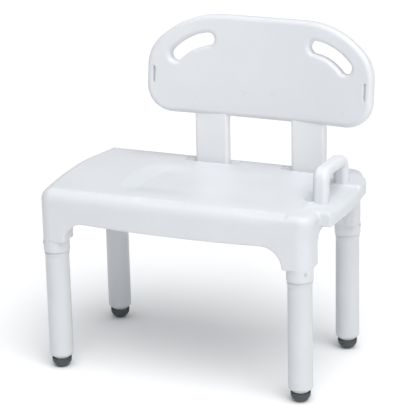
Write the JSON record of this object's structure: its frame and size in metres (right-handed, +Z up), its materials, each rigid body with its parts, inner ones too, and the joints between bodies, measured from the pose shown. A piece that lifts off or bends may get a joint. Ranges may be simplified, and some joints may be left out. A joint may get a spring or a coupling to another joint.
{
  "type": "bath transfer bench",
  "caption": "Bath transfer bench: hollow plastic seat with a deep apron on telescoping legs with rubber feet, a lift-off backrest with hand slots and a side handle.",
  "frame": {"origin": "on the floor, under the middle of the bench's outer box", "axes": "+Z up, +X along the bench to the end with the handle, +Y from the front to the backrest"},
  "size_m": [0.7379, 0.404, 0.8211],
  "materials": {
    "seat_plastic": "blow-moulded polyethylene with a fine satin grain",
    "back_plastic": "blow-moulded polyethylene with a fine satin grain",
    "post_plastic": "satin",
    "handle_plastic": "satin",
    "leg_plastic": "smooth satin",
    "sleeve_plastic": "smooth satin",
    "button_plastic": "gloss",
    "rubber": "matte, dark grey",
    "steel": "zinc plated",
    "spring_steel": "plain spring steel",
    "brass": "plain"
  },
  "bodies": {
    "seat": {"seat_shell": "seat_plastic", "side_handle": "handle_plastic", "handle_bolts": "steel", "handle_washers": "steel", "handle_inserts": "brass", "sleeve_screws": "steel", "leg_sleeve_front_left": "sleeve_plastic", "leg_sleeve_front_right": "sleeve_plastic", "leg_sleeve_rear_left": "sleeve_plastic", "leg_sleeve_rear_right": "sleeve_plastic", "leg_lock_spring_front_left": "sleeve_plastic", "leg_lock_spring_front_right": "sleeve_plastic", "leg_lock_spring_rear_left": "sleeve_plastic", "leg_lock_spring_rear_right": "sleeve_plastic"},
    "leg_front_left": {"leg_tube_front_left": "leg_plastic", "leg_foot_front_left": "rubber", "leg_foot_washer_front_left": "steel"},
    "leg_pin_front_left": {"leg_lock_pin_front_left": "button_plastic"},
    "leg_front_right": {"leg_tube_front_right": "leg_plastic", "leg_foot_front_right": "rubber", "leg_foot_washer_front_right": "steel"},
    "leg_pin_front_right": {"leg_lock_pin_front_right": "button_plastic"},
    "leg_rear_left": {"leg_tube_rear_left": "leg_plastic", "leg_foot_rear_left": "rubber", "leg_foot_washer_rear_left": "steel"},
    "leg_pin_rear_left": {"leg_lock_pin_rear_left": "button_plastic"},
    "leg_rear_right": {"leg_tube_rear_right": "leg_plastic", "leg_foot_rear_right": "rubber", "leg_foot_washer_rear_right": "steel"},
    "leg_pin_rear_right": {"leg_lock_pin_rear_right": "button_plastic"},
    "backrest": {"back_panel": "back_plastic", "back_post_left": "post_plastic", "back_post_right": "post_plastic", "back_screws": "steel", "back_inserts": "brass", "back_button_spring_left": "spring_steel", "back_button_spring_right": "spring_steel"},
    "back_button_left": {"back_button_left": "button_plastic"},
    "back_button_right": {"back_button_right": "button_plastic"}
  },
  "joints": [
    {"name": "leg_slide_front_left", "type": "slide", "parent": "seat", "child": "leg_front_left", "axis": [0, 0, 1], "range_m": [-0.0762, 0]},
    {"name": "leg_pin_press_front_left", "type": "slide", "parent": "seat", "child": "leg_pin_front_left", "axis": [-0.7071, -0.7071, 0], "range_m": [0, 0.0036], "stiffness_N_per_m": 600, "deforming": ["leg_lock_spring_front_left"]},
    {"name": "leg_slide_front_right", "type": "slide", "parent": "seat", "child": "leg_front_right", "axis": [0, 0, 1], "range_m": [-0.0762, 0]},
    {"name": "leg_pin_press_front_right", "type": "slide", "parent": "seat", "child": "leg_pin_front_right", "axis": [0.7071, -0.7071, 0], "range_m": [0, 0.0036], "stiffness_N_per_m": 600, "deforming": ["leg_lock_spring_front_right"]},
    {"name": "leg_slide_rear_left", "type": "slide", "parent": "seat", "child": "leg_rear_left", "axis": [0, 0, 1], "range_m": [-0.0762, 0]},
    {"name": "leg_pin_press_rear_left", "type": "slide", "parent": "seat", "child": "leg_pin_rear_left", "axis": [-1, 0, 0], "range_m": [0, 0.0036], "stiffness_N_per_m": 600, "deforming": ["leg_lock_spring_rear_left"]},
    {"name": "leg_slide_rear_right", "type": "slide", "parent": "seat", "child": "leg_rear_right", "axis": [0, 0, 1], "range_m": [-0.0762, 0]},
    {"name": "leg_pin_press_rear_right", "type": "slide", "parent": "seat", "child": "leg_pin_rear_right", "axis": [1, 0, 0], "range_m": [0, 0.0036], "stiffness_N_per_m": 600, "deforming": ["leg_lock_spring_rear_right"]},
    {"name": "back_lift", "type": "slide", "parent": "seat", "child": "backrest", "axis": [0, 0, 1], "range_m": [0, 0.09]},
    {"name": "back_button_press_left", "type": "slide", "parent": "backrest", "child": "back_button_left", "axis": [0, 1, 0], "range_m": [0, 0.005], "stiffness_N_per_m": 600, "deforming": ["back_button_spring_left"]},
    {"name": "back_button_press_right", "type": "slide", "parent": "backrest", "child": "back_button_right", "axis": [0, 1, 0], "range_m": [0, 0.005], "stiffness_N_per_m": 600, "deforming": ["back_button_spring_right"]}
  ]
}
